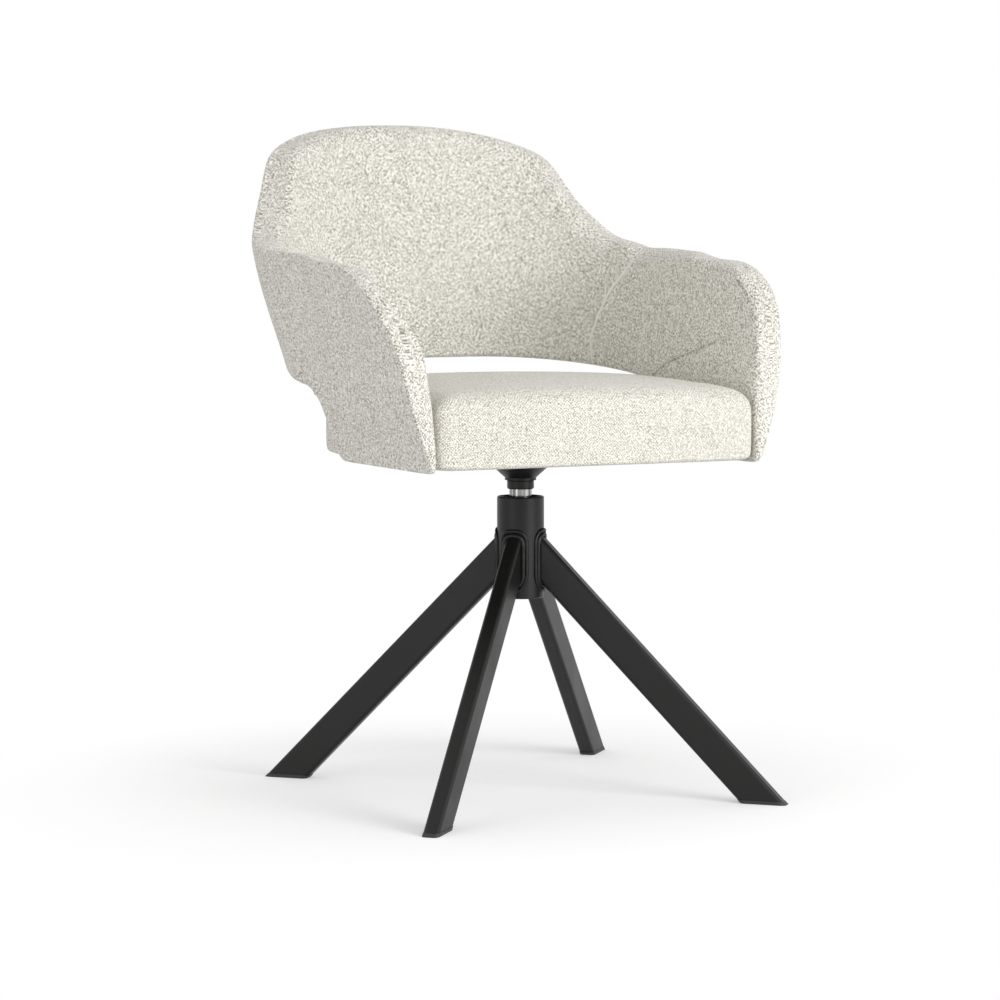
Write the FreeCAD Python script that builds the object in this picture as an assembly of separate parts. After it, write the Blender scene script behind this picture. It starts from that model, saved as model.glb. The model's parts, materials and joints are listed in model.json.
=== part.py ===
# Swivel dining armchair: a wrap-round upholstered back and arms on a padded seat,
# carried by a fixed-height swivel column in a four-legged base of rectangular steel tube.
#
# Frame: millimetres, +Z up, the origin on the floor under the swivel axis.
# The sitter faces -Y, so the seat's front is at -Y and +X is the sitter's left.
import FreeCAD
import Part

import math
import os

V = FreeCAD.Vector
UP = V(0, 0, 1)
FULL_TURN = 360.0

# Base
HUB_RADIUS = 29.0
HUB_BOTTOM = 241.0
HUB_LENGTH = 125.0
RIM_CHAMFER = 1.2
FOOT_REACH = 311.0          # swivel axis to the middle of a foot
LEG_JOIN_HEIGHT = 288.0     # where a leg's centre line meets the hub's wall
LEG_DEPTH = 40.0            # the tube's wide side, which stands upright
LEG_BREADTH = 20.0
LEG_CORNER = 5.0
LEG_WALL = 1.5
LEG_BEARING = 45.0          # the legs lie on the diagonals of the seat
CAP_HEIGHT = 4.0
CAP_LIP = 0.5
CAP_PLUG = 14.0
CAP_PLAY = 0.2
WELD_REACH = 3.2
WELD_THROAT = 2.6
WELD_PLAY = 0.1

# Swivel column
COLUMN_WALL = 2.0
COLUMN_RECESS = 4.0         # the column's top lies this far below the hub's rim
COLUMN_FLOOR_RISE = 11.0    # the column's floor above the hub's lower end
COLUMN_FLOOR = 3.0
HUB_WALL = 4.0
FIT_PLAY = 0.1
SPINDLE_RADIUS = 14.0
SPINDLE_PIN_RADIUS = 6.0
SPINDLE_SHOWN = 9.0         # bare spindle between the hub and the collar
PIN_END = 3.0
BUSH_LENGTH = 24.0
BUSH_INSET = 2.0
LOWER_BUSH_RISE = 12.0
RACE_HEIGHT = 2.5
RACE_WIDTH = 8.9
BALL_RADIUS = 2.5
BALL_COUNT = 10
CAGE_HEIGHT = 1.6
CLIP_HEIGHT = 1.4
CLIP_WIDTH = 3.9
CLIP_GROOVE = 1.0
WASHER_HEIGHT = 1.6
WASHER_WIDTH = 5.9

# Seat mounting
COLLAR_WIDTH = 2.6
COLLAR_HEIGHT = 11.0
CONE_LOW_RADIUS = 19.4
CONE_HIGH_RADIUS = 48.0
CONE_HEIGHT = 29.0
CONE_LIP = 3.0
CONE_WALL = 3.0
PLATE_SIDE = 170.0
PLATE_CORNER = 18.0
PLATE_HEIGHT = 3.0
PLATE_BOLT_SPACING = 134.0
BOLT_RADIUS = 4.0
BOLT_PLAY = 0.4
BOLT_HEAD_ACROSS = 13.0
BOLT_HEAD_HEIGHT = 5.0
BOLT_WASHER_RADIUS = 8.0
BOLT_WASHER_HEIGHT = 1.6
T_NUT_WALL = 1.4
T_NUT_FLANGE = 10.0
T_NUT_FLANGE_HEIGHT = 1.5
T_NUT_PLAY = 0.1

# Seat
SEAT_HALF_WIDTH = 212.0     # at the front
SEAT_REAR_HALF_WIDTH = 198.0
SEAT_FRONT = 211.0
SEAT_REAR = 214.0
SEAT_FRONT_CORNER = 32.0
SEAT_REAR_CORNER = 100.0
SEAT_HEIGHT = 99.0          # the cover's lower edge to the top of the crown
SEAT_CROWN_RISE = 16.0
SEAT_EDGE_ROUND = 26.0
LEAST_ROUND = 4.0
COVER_THICKNESS = 1.5
COVER_PLAY = 0.3
HEM_WIDTH = 50.0
BOARD_THICKNESS = 15.0
BOARD_RISE = 2.0            # the board's underside above the cover's lower edge
BOARD_INSET = 14.0
DUST_COVER_THICKNESS = 0.8
DUST_COVER_INSET = 20.0
DUST_COVER_PLAY = 4.0

# Back and arms: one padded wall that runs from the front of one arm round to the other.
# Heights here are above the seat cover's lower edge.
ARM_PLAY = 1.0              # seat cover to the inside of an arm
WALL_LEVELS = [             # height, how far the inside has flared out, thickness of an arm
    (-12.0, 0.0, 5.0),
    (14.0, 0.0, 12.5),
    (49.0, 0.0, 27.0),
    (98.0, 2.0, 39.0),
    (152.0, 13.0, 40.0),
    (196.0, 23.0, 40.0),
    (244.0, 30.0, 40.0),
    (324.0, 28.0, 40.0),
    (424.0, 23.0, 40.0),
]
WALL_OVERRUN = 12.0         # the wall is made this much too long before its outlines cut it
ARM_FRONT_THINNING = 0.86   # an arm's thickness at the front, as a part of its mean
ARM_REAR_THICKENING = 1.1
CORNER_RADIUS = 200.0       # outer face, where the arms turn into the back
BACK_RISE = 413.0
BACK_LOW_RISE = 111.0       # the back's lower edge in the middle, at its inner face
BACK_LOW_REACH = 292.0      # swivel axis to the outer face at that height
BACK_RECLINE = 0.273        # run over rise
BACK_PADDING = 44.0
LUMBAR = 8.0
LUMBAR_RISE = 224.0
LUMBAR_SPREAD = 70.0
ARM_RISE = 253.0
ARM_LEVEL_REACH = 120.0     # the arm's top is level behind this
ARM_FRONT_RISE = 227.0
ARM_FRONT_RECESS = 21.0     # the arm's front leans back this far at that height
ARM_FRONT_ROUND = 155.0
ARM_REAR_ROUND = 200.0
ARM_REAR_CLIMB = 140.0
TIP_ROUND = 2.0
PANEL_REAR = 75.0           # rear edge of the panel beside the seat, at its foot
PANEL_REAR_LEAN = 42.0
PANEL_FOOT_ROUND = 24.0
WINDOW_ROUND = 36.0
WINDOW_RISE_RATE = 0.143    # the lower edge climbs this much towards the back
SHOULDER_CENTRE = 100.0     # the top's rulings run out from a line this far behind the axis
SHOULDER_HIGH_BEARING = 0.53    # offsets over reach from that line
SHOULDER_LOW_BEARING = 1.62
SHOULDER_LOW_RISE = 270.0
SHOULDER_END_BEARING = 3.9
SHOULDER_PAST_BEARING = 12.0
SHOULDER_NEAR = 60.0
SHOULDER_NEAR_ROUNDS = [31.0, 50.0, 15.0, 15.0]
SHOULDER_FAR = 320.0
SHOULDER_FAR_ROUNDS = [150.0, 160.0, 80.0, 80.0]
CORNER_EASE = 5.0
SEAM_REACH = 130.0          # the inner arm panels meet the inner back panel here

# Frame inside the back and arms
RAIL_RADIUS = 8.0
RAIL_RISE = 158.0
RAIL_FLARE = 33.0
RAIL_END_INSET = 60.0
HOOP_RADIUS = 6.0
HOOP_HALF_WIDTH = 120.0
HOOP_TOP_INSET = 45.0
HOOP_CORNER = 60.0
BRACKET_LENGTH = 110.0
BRACKET_MIDDLE = -60.0
BRACKET_THICKNESS = 2.5
BRACKET_INSET = 3.0         # inside of the arm to the bracket's upright
BRACKET_UPRIGHT = 54.0
BRACKET_SHELF = 62.0
BRACKET_BOLT_INSET = 38.0
BRACKET_BOLT_SPACING = 70.0
STRAP_PLAY = 0.3            # a bracket's strap to the rail that it is tacked to

COLUMN_RADIUS = HUB_RADIUS - HUB_WALL
HUB_TOP = HUB_BOTTOM + HUB_LENGTH
COLLAR_BOTTOM = HUB_TOP + SPINDLE_SHOWN
PLATE_LOW = COLLAR_BOTTOM + COLLAR_HEIGHT + CONE_HEIGHT
BOARD_LOW = PLATE_LOW + PLATE_HEIGHT
BOARD_HIGH = BOARD_LOW + BOARD_THICKNESS
SEAT_BOTTOM = BOARD_LOW - BOARD_RISE
SEAT_CROWN = SEAT_BOTTOM + SEAT_HEIGHT
BOLT_HOLE_RADIUS = BOLT_RADIUS + BOLT_PLAY
T_NUT_RADIUS = BOLT_RADIUS + T_NUT_PLAY + T_NUT_WALL
COLLAR_RADIUS = SPINDLE_RADIUS + COLLAR_WIDTH
ARM_INSIDE = SEAT_HALF_WIDTH + ARM_PLAY


def cylinder(radius, low, high):
    return Part.makeCylinder(radius, high - low, V(0, 0, low))


def ring(inner, outer, low, high):
    return cylinder(outer, low, high).cut(cylinder(inner, low, high))


def save(name, shape):
    solids = shape.Solids
    if len(solids) == 1:
        shape = solids[0]
    shape.exportStep("parts/%s.step" % name)
    volume = sum(s.Volume for s in solids)
    print("%-24s %2d solid(s) %10.0f mm3 valid %s" % (name, len(solids), volume, shape.isValid()))


def prism(wire, direction):
    return Part.Face(wire).extrude(direction)


def rounded_path(corners, closed=True):
    """A wire of straight runs joined by tangent arcs: corners is a list of (point, radius)."""
    count = len(corners)
    arcs, ends = [], []
    for index, (point, radius) in enumerate(corners):
        if not closed and index in (0, count - 1):
            ends.append((point, point))
            arcs.append(None)
            continue
        before = (corners[index - 1][0] - point).normalize()
        after = (corners[(index + 1) % count][0] - point).normalize()
        half = before.getAngle(after) / 2
        cut = radius / math.tan(half)
        start, end = point + before * cut, point + after * cut
        middle = point + (before + after).normalize() * (radius / math.sin(half) - radius)
        arcs.append(Part.Arc(start, middle, end).toShape())
        ends.append((start, end))
    edges = []
    for index in range(count):
        if arcs[index]:
            edges.append(arcs[index])
        if closed or index < count - 1:
            edges.append(Part.makeLine(ends[index][1], ends[(index + 1) % count][0]))
    return edges


def eased(points, cuts):
    """Turns the length that each arc takes off its two runs into that arc's radius."""
    corners = []
    for index, (point, cut) in enumerate(zip(points, cuts)):
        before = (points[index - 1] - point).normalize()
        after = (points[(index + 1) % len(points)] - point).normalize()
        corners.append((point, cut * math.tan(before.getAngle(after) / 2)))
    return corners


def rounded_rectangle(width, height, corner, z=0.0):
    x, y = width / 2, height / 2
    points = [V(x, y, z), V(-x, y, z), V(-x, -y, z), V(x, -y, z)]
    return Part.Wire(rounded_path([(point, corner) for point in points]))


def hexagon(across, low, high):
    radius = across / math.sqrt(3)
    turns = [math.radians(angle) for angle in range(0, 361, 60)]
    corners = [V(radius * math.cos(turn), radius * math.sin(turn), low) for turn in turns]
    return prism(Part.makePolygon(corners), V(0, 0, high - low))


def tube_along(corners, radius):
    """A round bar along straight runs and tangent arcs."""
    path = Part.Wire(rounded_path(corners, closed=False))
    start = corners[0][0]
    heading = corners[1][0] - start
    section = Part.Wire(Part.makeCircle(radius, start, heading))
    return path.makePipeShell([section], True, False)


# Base

LEG_RUN = FOOT_REACH - HUB_RADIUS
LEG_PITCH = math.degrees(math.atan2(LEG_JOIN_HEIGHT, LEG_RUN))
LEG_NAMES = ["rear_left", "rear_right", "front_right", "front_left"]


def leg_bar(depth, breadth, corner):
    """A long bar along a leg's centre line, towards +X, before it is turned to its diagonal."""
    past_hub = HUB_RADIUS * 2
    past_floor = depth * 2
    length = math.hypot(LEG_RUN, LEG_JOIN_HEIGHT) + past_hub + past_floor
    bar = prism(rounded_rectangle(breadth, depth, corner), V(0, 0, length))
    bar.translate(V(0, 0, -past_hub))
    bar.rotate(V(0, 0, 0), UP, 90)
    bar.rotate(V(0, 0, 0), V(0, 1, 0), 90 + LEG_PITCH)
    bar.translate(V(HUB_RADIUS, 0, LEG_JOIN_HEIGHT))
    return bar


def slab(low, high):
    side = FOOT_REACH * 3
    return Part.makeBox(side, side, high - low, V(-side / 2, -side / 2, low))


def outside_hub(radius):
    """All that lies beyond the hub on the +X side."""
    reach = FOOT_REACH * 2
    block = Part.makeBox(reach, reach, HUB_TOP * 2, V(0, -reach / 2, -HUB_TOP / 2))
    return block.cut(cylinder(radius, -HUB_TOP, HUB_TOP * 2))


def leg():
    tube = leg_bar(LEG_DEPTH, LEG_BREADTH, LEG_CORNER)
    tube = tube.cut(leg_bar(LEG_DEPTH - 2 * LEG_WALL, LEG_BREADTH - 2 * LEG_WALL, LEG_CORNER - LEG_WALL))
    tube = tube.common(slab(CAP_HEIGHT, HUB_TOP))
    return tube.common(outside_hub(HUB_RADIUS + WELD_PLAY))


def foot_cap():
    lip = 2 * CAP_LIP
    pad = leg_bar(LEG_DEPTH + lip, LEG_BREADTH + lip, LEG_CORNER + CAP_LIP).common(slab(0, CAP_HEIGHT))
    bore = 2 * (LEG_WALL + CAP_PLAY)
    plug = leg_bar(LEG_DEPTH - bore, LEG_BREADTH - bore, LEG_CORNER - LEG_WALL - CAP_PLAY)
    cap = pad.fuse(plug.common(slab(CAP_HEIGHT, CAP_HEIGHT + CAP_PLUG)))
    return cap.common(outside_hub(HUB_RADIUS)).removeSplitter()


def weld():
    around = 2 * WELD_REACH
    bead = leg_bar(LEG_DEPTH + around, LEG_BREADTH + around, LEG_CORNER + WELD_REACH)
    play = 2 * WELD_PLAY
    bead = bead.cut(leg_bar(LEG_DEPTH + play, LEG_BREADTH + play, LEG_CORNER + WELD_PLAY))
    sleeve = ring(HUB_RADIUS + WELD_PLAY, HUB_RADIUS + WELD_THROAT, HUB_BOTTOM, HUB_TOP)
    return bead.common(sleeve).common(outside_hub(HUB_RADIUS))


def turned(shape, index):
    copy = shape.copy()
    copy.rotate(V(0, 0, 0), UP, LEG_BEARING + index * FULL_TURN / len(LEG_NAMES))
    return copy


def chamfered(tube, radius):
    rims = [e for e in tube.Edges if len(e.Vertexes) == 1 and abs(e.Curve.Radius - radius) < FIT_PLAY / 2]
    return tube.makeChamfer(RIM_CHAMFER, rims)


def make_base():
    hub = ring(COLUMN_RADIUS + FIT_PLAY, HUB_RADIUS, HUB_BOTTOM, HUB_TOP)
    save("hub_tube", chamfered(hub, HUB_RADIUS))
    one_leg, one_cap, one_weld = leg(), foot_cap(), weld()
    for index, name in enumerate(LEG_NAMES):
        save("leg_" + name, turned(one_leg, index))
        save("foot_cap_" + name, turned(one_cap, index))
    save("leg_welds", Part.makeCompound([turned(one_weld, index) for index in range(len(LEG_NAMES))]))


# Swivel column

COLUMN_BOTTOM = HUB_BOTTOM + COLUMN_FLOOR_RISE
COLUMN_TOP = HUB_TOP - COLUMN_RECESS
COLUMN_INNER = COLUMN_RADIUS - COLUMN_WALL
RACE_LOW = COLUMN_BOTTOM + COLUMN_FLOOR
BALL_LEVEL = RACE_LOW + RACE_HEIGHT + BALL_RADIUS
RACE_HIGH = BALL_LEVEL + BALL_RADIUS
SPINDLE_SHOULDER = RACE_HIGH + RACE_HEIGHT
PIN_HOLE = SPINDLE_PIN_RADIUS + FIT_PLAY
RACE_OUTER = PIN_HOLE + RACE_WIDTH
SPINDLE_HOLE = SPINDLE_RADIUS + FIT_PLAY


def make_column():
    tube = ring(COLUMN_INNER, COLUMN_RADIUS, COLUMN_BOTTOM, COLUMN_TOP)
    floor = ring(PIN_HOLE, COLUMN_INNER, COLUMN_BOTTOM, RACE_LOW)
    save("column_tube", tube.fuse(floor).removeSplitter())
    bush_outer = COLUMN_INNER - FIT_PLAY
    bush_top = COLUMN_TOP - BUSH_INSET
    save("upper_bush", ring(SPINDLE_HOLE, bush_outer, bush_top - BUSH_LENGTH, bush_top))
    bush_low = SPINDLE_SHOULDER + LOWER_BUSH_RISE
    save("lower_bush", ring(SPINDLE_HOLE, bush_outer, bush_low, bush_low + BUSH_LENGTH))
    washer_high = COLUMN_BOTTOM - FIT_PLAY
    washer_low = washer_high - WASHER_HEIGHT
    save("end_washer", ring(PIN_HOLE, PIN_HOLE + WASHER_WIDTH, washer_low, washer_high))
    clip_high = washer_low - FIT_PLAY
    clip_low = clip_high - CLIP_HEIGHT
    groove = SPINDLE_PIN_RADIUS - CLIP_GROOVE
    save("retaining_clip", ring(groove + FIT_PLAY, groove + CLIP_WIDTH, clip_low, clip_high))
    shaft = cylinder(SPINDLE_RADIUS, SPINDLE_SHOULDER, PLATE_LOW - FIT_PLAY)
    shaft = shaft.fuse(cylinder(SPINDLE_PIN_RADIUS, clip_low - PIN_END, SPINDLE_SHOULDER))
    shaft = shaft.cut(ring(groove, SPINDLE_RADIUS, clip_low - FIT_PLAY, clip_high + FIT_PLAY))
    save("spindle", shaft.removeSplitter())


def make_bearing():
    save("bearing_lower_race", ring(PIN_HOLE, RACE_OUTER, RACE_LOW, RACE_LOW + RACE_HEIGHT))
    save("bearing_upper_race", ring(PIN_HOLE, RACE_OUTER, RACE_HIGH, SPINDLE_SHOULDER - FIT_PLAY))
    circle = (PIN_HOLE + RACE_OUTER) / 2
    balls, pockets = [], []
    for index in range(BALL_COUNT):
        angle = math.radians(index * FULL_TURN / BALL_COUNT)
        centre = V(circle * math.cos(angle), circle * math.sin(angle), BALL_LEVEL)
        balls.append(Part.makeSphere(BALL_RADIUS - FIT_PLAY, centre))
        pockets.append(Part.makeCylinder(BALL_RADIUS, CAGE_HEIGHT * 2, centre - V(0, 0, CAGE_HEIGHT)))
    save("bearing_balls", Part.makeCompound(balls))
    half = CAGE_HEIGHT / 2
    cage = ring(PIN_HOLE, RACE_OUTER - FIT_PLAY, BALL_LEVEL - half, BALL_LEVEL + half)
    save("bearing_cage", cage.cut(Part.makeCompound(pockets)))


# Seat mounting

def revolved(points):
    outline = [V(radius, 0, z) for radius, z in points]
    return Part.Face(Part.makePolygon(outline + outline[:1])).revolve(V(0, 0, 0), UP, FULL_TURN)


def grid(spacing_x, spacing_y, middle_y=0.0):
    signs = [(-1, -1), (-1, 1), (1, -1), (1, 1)]
    return [(x * spacing_x / 2, middle_y + y * spacing_y / 2) for x, y in signs]


def placed(shape, places):
    copies = []
    for x, y in places:
        copy = shape.copy()
        copy.translate(V(x, y, 0))
        copies.append(copy)
    return Part.makeCompound(copies)


def drilled(shape, places, radius, low, high):
    return shape.cut(placed(cylinder(radius, low, high), places))


PLATE_PLACES = grid(PLATE_BOLT_SPACING, PLATE_BOLT_SPACING)
BRACKET_HOLE_X = SEAT_HALF_WIDTH - BRACKET_BOLT_INSET
BRACKET_PLACES = grid(2 * BRACKET_HOLE_X, BRACKET_BOLT_SPACING, BRACKET_MIDDLE)
NUT_PLACES = PLATE_PLACES + BRACKET_PLACES
SHELF_LOW = SEAT_BOTTOM - BRACKET_THICKNESS


def bolt(bearing):
    """A hexagon bolt whose head bears upwards on the height given and whose shank fills its T nut."""
    head = hexagon(BOLT_HEAD_ACROSS, bearing - BOLT_HEAD_HEIGHT, bearing)
    return head.fuse(cylinder(BOLT_RADIUS, bearing, BOARD_HIGH + T_NUT_FLANGE_HEIGHT)).removeSplitter()


def t_nut():
    bore = BOLT_RADIUS + T_NUT_PLAY
    flange = ring(bore, T_NUT_FLANGE, BOARD_HIGH, BOARD_HIGH + T_NUT_FLANGE_HEIGHT)
    barrel = ring(bore, T_NUT_RADIUS, BOARD_LOW + T_NUT_FLANGE_HEIGHT, BOARD_HIGH)
    return flange.fuse(barrel).removeSplitter()


def make_mounting():
    plate = prism(rounded_rectangle(PLATE_SIDE, PLATE_SIDE, PLATE_CORNER, PLATE_LOW), V(0, 0, PLATE_HEIGHT))
    cone_low = COLLAR_BOTTOM + COLLAR_HEIGHT
    lip_high = cone_low + CONE_LIP
    cone = revolved([
        (SPINDLE_HOLE, cone_low), (CONE_LOW_RADIUS, cone_low), (CONE_LOW_RADIUS, lip_high),
        (CONE_HIGH_RADIUS, PLATE_LOW), (CONE_HIGH_RADIUS - 2 * CONE_WALL, PLATE_LOW),
        (CONE_LOW_RADIUS, lip_high + CONE_WALL), (CONE_LOW_RADIUS, PLATE_LOW), (SPINDLE_HOLE, PLATE_LOW),
    ])
    plate = plate.fuse(cone).removeSplitter()
    save("swivel_plate", drilled(plate, PLATE_PLACES, BOLT_HOLE_RADIUS, PLATE_LOW, BOARD_LOW))
    collar = ring(SPINDLE_HOLE, COLLAR_RADIUS, COLLAR_BOTTOM, cone_low)
    save("spindle_collar", chamfered(collar, COLLAR_RADIUS))
    washer_low = PLATE_LOW - BOLT_WASHER_HEIGHT
    save("plate_bolts", placed(bolt(washer_low), PLATE_PLACES))
    washer = ring(BOLT_HOLE_RADIUS, BOLT_WASHER_RADIUS, washer_low, PLATE_LOW)
    save("plate_washers", placed(washer, PLATE_PLACES))
    save("bracket_bolts", placed(bolt(SHELF_LOW), BRACKET_PLACES))
    save("board_t_nuts", placed(t_nut(), NUT_PLACES))


# Seat

def seat_outline(inset, z):
    """The seat's plan, taken in by inset."""
    front, rear = inset - SEAT_FRONT, SEAT_REAR - inset
    wide, narrow = SEAT_HALF_WIDTH - inset, SEAT_REAR_HALF_WIDTH - inset
    front_round = max(SEAT_FRONT_CORNER - inset, LEAST_ROUND)
    rear_round = max(SEAT_REAR_CORNER - inset, LEAST_ROUND)
    return Part.Wire(rounded_path([
        (V(-wide, front, z), front_round), (V(wide, front, z), front_round),
        (V(narrow, rear, z), rear_round), (V(-narrow, rear, z), rear_round),
    ]))


def seat_slab(inset, low, high):
    return prism(seat_outline(inset, low), V(0, 0, high - low))


def cushion(inset, low):
    """The seat's block: straight sides, a rounded upper edge and a domed top."""
    block = seat_slab(inset, low, SEAT_CROWN)
    reach = math.hypot(SEAT_HALF_WIDTH, SEAT_FRONT)
    radius = (reach * reach + SEAT_CROWN_RISE * SEAT_CROWN_RISE) / (2 * SEAT_CROWN_RISE)
    block = block.common(Part.makeSphere(radius - inset, V(0, 0, SEAT_CROWN - radius)))
    rim = SEAT_CROWN - 2 * SEAT_CROWN_RISE
    return block.makeFillet(SEAT_EDGE_ROUND - inset, [e for e in block.Edges if e.BoundBox.ZMin > rim])


def make_seat():
    board = seat_slab(BOARD_INSET, BOARD_LOW, BOARD_HIGH)
    save("seat_board", drilled(board, NUT_PLACES, T_NUT_RADIUS + T_NUT_PLAY, BOARD_LOW, BOARD_HIGH))
    foam = cushion(COVER_THICKNESS + COVER_PLAY, BOARD_LOW)
    foam = foam.cut(seat_slab(BOARD_INSET - COVER_PLAY, BOARD_LOW, BOARD_HIGH))
    flange_high = BOARD_HIGH + T_NUT_FLANGE_HEIGHT + T_NUT_PLAY
    save("seat_foam", drilled(foam, NUT_PLACES, T_NUT_FLANGE + T_NUT_PLAY, BOARD_HIGH, flange_high))
    hem_high = SEAT_BOTTOM + COVER_THICKNESS
    cover = cushion(0, SEAT_BOTTOM).cut(cushion(COVER_THICKNESS, hem_high))
    cover = cover.cut(seat_slab(HEM_WIDTH, SEAT_BOTTOM, hem_high))
    save("seat_cover", drilled(cover, BRACKET_PLACES, BOLT_HOLE_RADIUS, SEAT_BOTTOM, hem_high))
    sheet_low = SEAT_BOTTOM - DUST_COVER_THICKNESS
    sheet = seat_slab(DUST_COVER_INSET, sheet_low, SEAT_BOTTOM)
    side = PLATE_SIDE + 2 * DUST_COVER_PLAY
    around_plate = rounded_rectangle(side, side, PLATE_CORNER + DUST_COVER_PLAY, sheet_low)
    sheet = sheet.cut(prism(around_plate, V(0, 0, DUST_COVER_THICKNESS)))
    for side in (-1, 1):
        sheet = sheet.cut(shelf_room(side, sheet_low))
    save("dust_cover", sheet)


def shelf_room(side, low):
    """The notch in the dust cover that leaves room for a bracket's shelf."""
    length = BRACKET_LENGTH + 2 * DUST_COVER_PLAY
    inner = ARM_INSIDE - BRACKET_SHELF - DUST_COVER_PLAY
    start = V(min(side * inner, side * ARM_INSIDE), BRACKET_MIDDLE - length / 2, low)
    return Part.makeBox(ARM_INSIDE - inner, length, DUST_COVER_THICKNESS, start)


# Back and arms

def back_outer(z):
    return BACK_LOW_REACH + (z - SEAT_BOTTOM - BACK_LOW_RISE) * BACK_RECLINE


def back_padding(z):
    offset = (z - SEAT_BOTTOM - LUMBAR_RISE) / LUMBAR_SPREAD
    return BACK_PADDING + LUMBAR * math.exp(-offset * offset)


def wall_profile(level, inset, depth):
    """A level slice through the padded wall, as far in from its outer face as depth, a part of 1."""
    rise, flare, padding = level
    z = SEAT_BOTTOM + rise
    inside = ARM_INSIDE + flare
    reach = SEAT_FRONT + WALL_OVERRUN
    front_outer = inside + padding * ARM_FRONT_THINNING
    rear_outer = inside + padding * ARM_REAR_THICKENING
    front_inner = front_outer - (front_outer - inside) * depth + inset
    rear_inner = rear_outer - (rear_outer - inside) * depth + inset
    back_face = back_outer(z)
    back_inner = back_face - back_padding(z) * depth + inset
    front_outer, rear_outer, back_face = front_outer - inset, rear_outer - inset, back_face - inset
    inner_round = CORNER_RADIUS - BACK_PADDING * depth
    outer = rounded_path([
        (V(-front_outer, -reach, z), 0), (V(-rear_outer, back_face, z), CORNER_RADIUS - inset),
        (V(rear_outer, back_face, z), CORNER_RADIUS - inset), (V(front_outer, -reach, z), 0),
    ], closed=False)
    inner = rounded_path([
        (V(front_inner, -reach, z), 0), (V(rear_inner, back_inner, z), inner_round + inset),
        (V(-rear_inner, back_inner, z), inner_round + inset), (V(-front_inner, -reach, z), 0),
    ], closed=False)
    left_end = Part.makeLine(V(front_outer, -reach, z), V(front_inner, -reach, z))
    right_end = Part.makeLine(V(-front_inner, -reach, z), V(-front_outer, -reach, z))
    return Part.Wire(outer + [left_end] + inner + [right_end])


def side_outline(inset):
    """What the wall keeps as seen from the side: the arm's front and top, the window and the foot."""
    beyond = SEAT_HALF_WIDTH * 2
    overhead = SEAT_BOTTOM + BACK_RISE * 2
    behind = BACK_LOW_REACH * 2
    slope = WINDOW_RISE_RATE

    def lower_edge(y):
        return SEAT_BOTTOM + BACK_LOW_RISE + inset + slope * (y - BACK_LOW_REACH + BACK_PADDING)

    foot = SEAT_BOTTOM + inset
    panel_rear = PANEL_REAR - inset
    window_front = panel_rear - PANEL_REAR_LEAN
    arm_front = SEAT_FRONT - ARM_FRONT_RECESS - inset
    corners = [
        (-arm_front, SEAT_BOTTOM + ARM_FRONT_RISE - inset, ARM_FRONT_ROUND),
        (ARM_LEVEL_REACH, SEAT_BOTTOM + ARM_RISE - inset, ARM_REAR_ROUND),
        (ARM_LEVEL_REACH + ARM_REAR_CLIMB, overhead, CORNER_EASE), (behind, overhead, CORNER_EASE),
        (behind, lower_edge(behind), CORNER_EASE), (window_front, lower_edge(window_front), WINDOW_ROUND),
        (panel_rear, foot, PANEL_FOOT_ROUND), (inset - SEAT_FRONT, foot, TIP_ROUND),
    ]
    wire = Part.Wire(rounded_path([(V(-beyond, y, z), radius) for y, z, radius in corners]))
    return prism(wire, V(2 * beyond, 0, 0))


def above_shoulders(inset):
    """What is taken off the top: its level rulings run out from an upright line in the seat's middle."""
    arm_top = SEAT_BOTTOM + ARM_RISE - inset
    heights = [SEAT_BOTTOM + BACK_RISE - inset, SEAT_BOTTOM + SHOULDER_LOW_RISE - inset, arm_top, arm_top]
    bearings = [SHOULDER_HIGH_BEARING, SHOULDER_LOW_BEARING, SHOULDER_END_BEARING, SHOULDER_PAST_BEARING]
    overhead = SEAT_BOTTOM + BACK_RISE * 2
    wires = []
    for reach, rounds in ((SHOULDER_NEAR, SHOULDER_NEAR_ROUNDS), (SHOULDER_FAR, SHOULDER_FAR_ROUNDS)):
        y = SHOULDER_CENTRE + reach
        left = [V(bearing * reach, y, z) for bearing, z in zip(bearings, heights)]
        right = [V(-point.x, y, point.z) for point in reversed(left)]
        past = SHOULDER_PAST_BEARING * reach
        points = right + left + [V(past, y, overhead), V(-past, y, overhead)]
        cuts = rounds[::-1] + rounds + [CORNER_EASE, CORNER_EASE]
        wires.append(Part.Wire(rounded_path(eased(points, cuts))))
    ahead = SHOULDER_CENTRE + SHOULDER_NEAR + SEAT_FRONT * 2
    wide = SEAT_HALF_WIDTH * 4
    front = Part.makeBox(wide, ahead, overhead - arm_top, V(-wide / 2, -SEAT_FRONT * 2, arm_top))
    return Part.makeLoft(wires, True, True).fuse(front)


def upholstered_wall(inset, depth=1.0):
    top = (BACK_RISE + WALL_OVERRUN, WALL_LEVELS[-1][1], WALL_LEVELS[-1][2])
    levels = WALL_LEVELS[:-1] + [top]
    wall = Part.makeLoft([wall_profile(level, inset, depth) for level in levels], True, False)
    return wall.common(side_outline(inset)).cut(above_shoulders(inset))


# Frame inside the back and arms

RAIL_Z = SEAT_BOTTOM + RAIL_RISE
RAIL_X = ARM_INSIDE + RAIL_FLARE
RAIL_Y = back_outer(RAIL_Z) - back_padding(RAIL_Z) / 2


def rail():
    front = RAIL_END_INSET - SEAT_FRONT
    radius = CORNER_RADIUS - BACK_PADDING / 2
    return tube_along([
        (V(-RAIL_X, front, RAIL_Z), 0), (V(-RAIL_X, RAIL_Y, RAIL_Z), radius),
        (V(RAIL_X, RAIL_Y, RAIL_Z), radius), (V(RAIL_X, front, RAIL_Z), 0),
    ], RAIL_RADIUS)


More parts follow.
